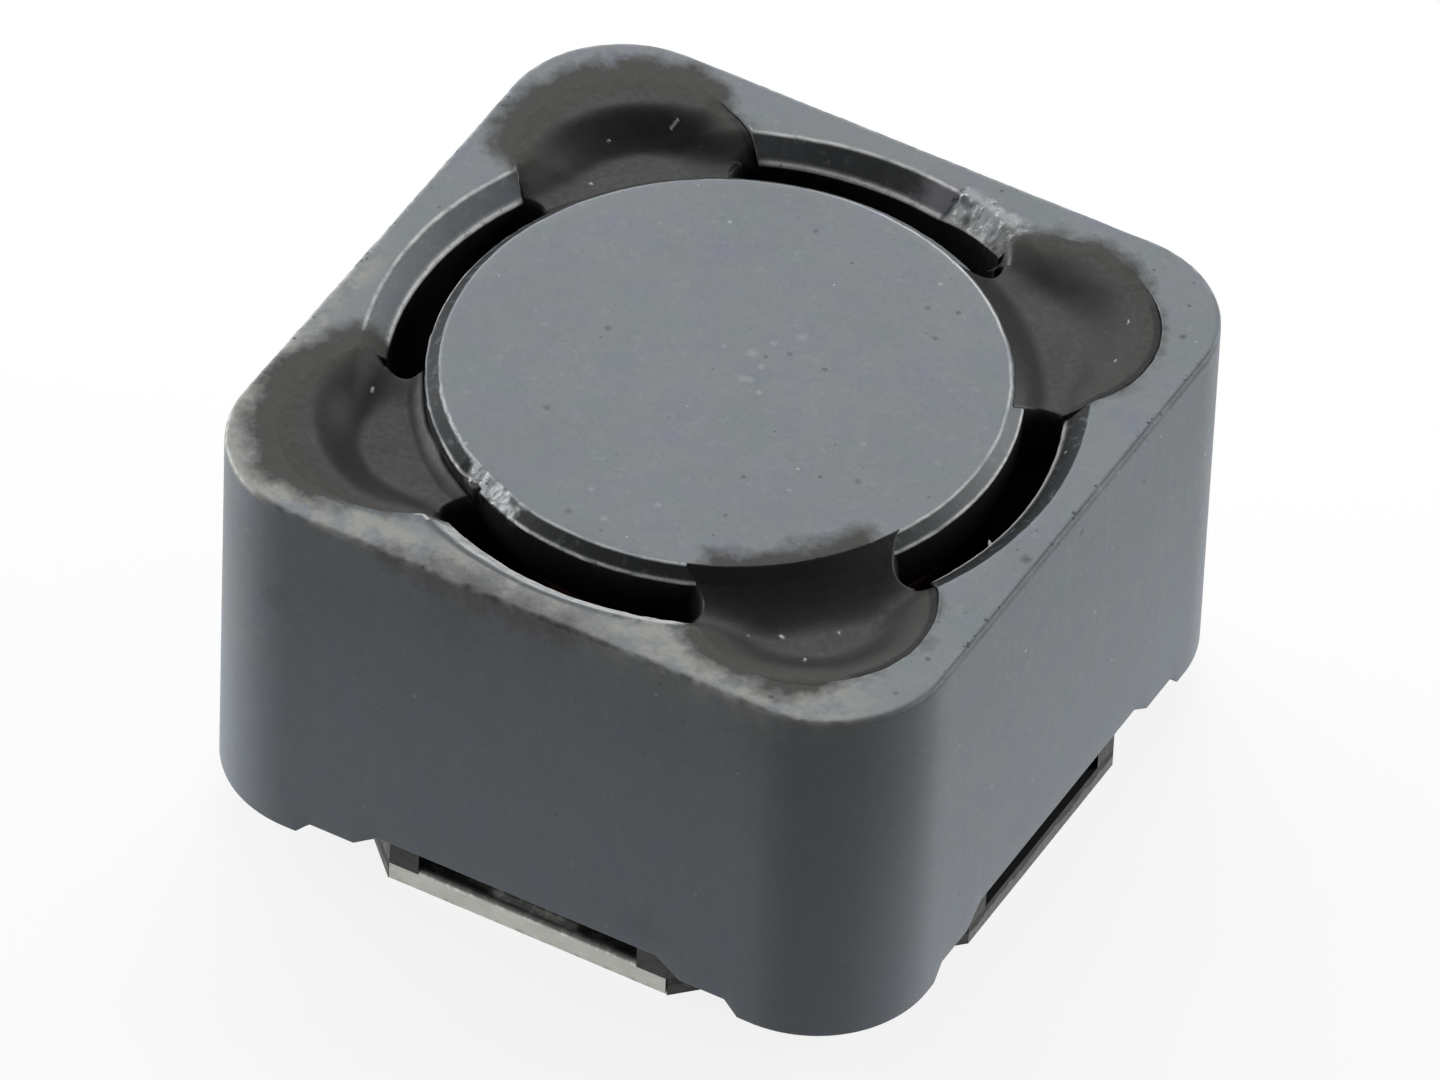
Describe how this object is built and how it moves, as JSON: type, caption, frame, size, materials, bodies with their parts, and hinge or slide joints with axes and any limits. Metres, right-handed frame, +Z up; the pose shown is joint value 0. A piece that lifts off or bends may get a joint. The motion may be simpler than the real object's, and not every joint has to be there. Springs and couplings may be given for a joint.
{
  "type": "shielded smd inductor",
  "caption": "Square surface-mount power inductor: ferrite drum core in a ferrite shield ring, epoxy fillets in the corners, wound coil inside, plate with tinned end terminals below.",
  "frame": {"origin": "centre of the footprint on the solder plane, midway between the two terminals", "axes": "+Z up out of the drum's flat top, +Y across the two terminals towards the rear one, +X along the terminals"},
  "size_m": [0.012, 0.012, 0.0072],
  "materials": {
    "ring_ferrite": "sintered matt ferrite, dark grey, worn light along its edges",
    "drum_ferrite": "ground matt ferrite, grey, with a chipped rim",
    "enamelled_copper": "enamelled copper wire, glossy reddish brown",
    "laminate": "dark brown laminate",
    "tinned_strip": "dull matt tin",
    "solder": "satin solder",
    "bond_adhesive": "cured grey adhesive",
    "fillet_epoxy": "cured dark grey epoxy, satin, with a dished surface"
  },
  "bodies": {
    "root": {"ring_core": "ring_ferrite", "drum_core": "drum_ferrite", "winding": "enamelled_copper", "base_plate": "laminate", "terminal_front": "tinned_strip", "terminal_rear": "tinned_strip", "solder_front": "solder", "solder_rear": "solder", "drum_adhesive": "bond_adhesive", "bead_front_right": "bond_adhesive", "bead_rear_right": "bond_adhesive", "bead_rear_left": "bond_adhesive", "bead_front_left": "bond_adhesive", "epoxy_front_right": "fillet_epoxy", "epoxy_rear_right": "fillet_epoxy", "epoxy_rear_left": "fillet_epoxy", "epoxy_front_left": "fillet_epoxy"}
  },
  "joints": []
}
